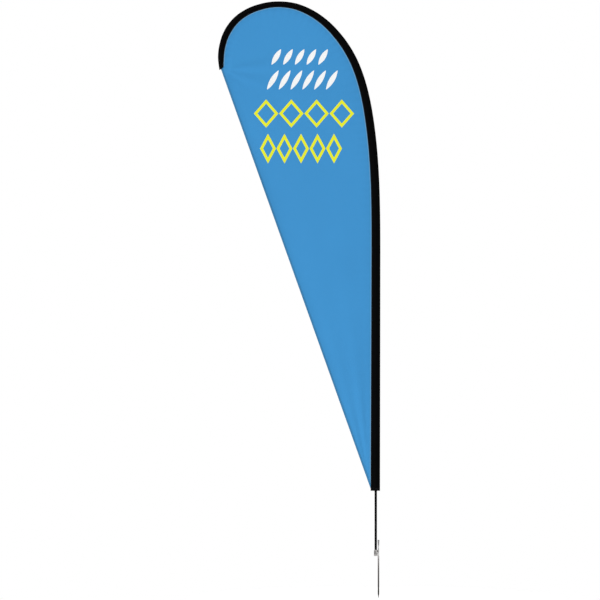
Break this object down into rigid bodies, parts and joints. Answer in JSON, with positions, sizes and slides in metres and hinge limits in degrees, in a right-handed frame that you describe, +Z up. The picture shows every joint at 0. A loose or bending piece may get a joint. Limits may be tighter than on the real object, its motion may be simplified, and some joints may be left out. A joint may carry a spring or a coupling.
{
  "type": "teardrop flag",
  "caption": "Teardrop advertising flag on a bent pole: a blue cloth panel hangs from a black pole sleeve, above a steel ground spike with a rotating bearing head.",
  "frame": {"origin": "on the ground spike's axis at ground level", "axes": "+Z up the spike and pole, -X the way the flag flies from its pole, Y across the cloth's thickness"},
  "size_m": [1.0685, 0.0276, 3.9341],
  "materials": {
    "chromed_steel": "bright plated, lightly scuffed",
    "strike_steel": "satin, burred by the mallet",
    "bearing_steel": "ground and polished",
    "black_screw": "black oxide",
    "cage_brass": "satin",
    "seal_rubber": "matt",
    "washer_nylon": "matt",
    "pole_black": "semi-matt pultruded glass fibre",
    "ferrule_metal": "satin",
    "collar_plastic": "moulded, fine texture",
    "cap_plastic": "moulded",
    "webbing": "woven nylon",
    "sleeve_cloth": "black elastic polyester",
    "flag_cloth": "printed knitted polyester",
    "hem_cloth": "doubled knitted polyester, topstitched"
  },
  "bodies": {
    "ground_spike": {"spike_rod": "chromed_steel", "strike_cap": "strike_steel", "spike_arm": "chromed_steel", "bearing_housing": "chromed_steel", "clamp_screw": "black_screw", "clamp_nut": "black_screw", "upper_outer_race": "bearing_steel", "lower_outer_race": "bearing_steel", "dust_plug": "seal_rubber"},
    "spindle": {"spindle": "chromed_steel", "upper_inner_race": "bearing_steel", "lower_inner_race": "bearing_steel", "race_spacer": "cage_brass", "spindle_circlip": "bearing_steel", "spindle_o_rings": "seal_rubber", "foot_washer": "washer_nylon"},
    "upper_ball_set": {"upper_ball_cage": "cage_brass", "upper_balls": "bearing_steel"},
    "lower_ball_set": {"lower_ball_cage": "cage_brass", "lower_balls": "bearing_steel"},
    "pole": {"pole_section_1": "pole_black", "pole_section_2": "pole_black", "pole_section_3": "pole_black", "pole_section_4": "pole_black", "ferrule_1": "ferrule_metal", "ferrule_2": "ferrule_metal", "ferrule_3": "ferrule_metal", "tip_cap": "cap_plastic", "tension_collar": "collar_plastic", "collar_screw": "bearing_steel", "tension_strap": "webbing", "pole_sleeve": "sleeve_cloth", "sleeve_mouth_hem": "sleeve_cloth", "tip_pocket": "webbing", "flag_panel": "flag_cloth", "free_edge_hem": "hem_cloth"}
  },
  "joints": [
    {"name": "spin", "type": "hinge", "parent": "ground_spike", "child": "spindle", "pos_m": [-0.018, 0, 0], "axis": [0, 0, 1], "continuous": true},
    {"name": "upper_ball_set_spin", "type": "hinge", "parent": "ground_spike", "child": "upper_ball_set", "pos_m": [-0.018, 0, 0], "axis": [0, 0, 1], "continuous": true},
    {"name": "lower_ball_set_spin", "type": "hinge", "parent": "ground_spike", "child": "lower_ball_set", "pos_m": [-0.018, 0, 0], "axis": [0, 0, 1], "continuous": true},
    {"name": "pole_lift", "type": "slide", "parent": "spindle", "child": "pole", "axis": [0, 0, 1], "range_m": [0, 0.11]}
  ],
  "couplings": [
    {"joint": "upper_ball_set_spin", "follows": "spin", "ratio": 0.3917},
    {"joint": "lower_ball_set_spin", "follows": "spin", "ratio": 0.3917}
  ]
}
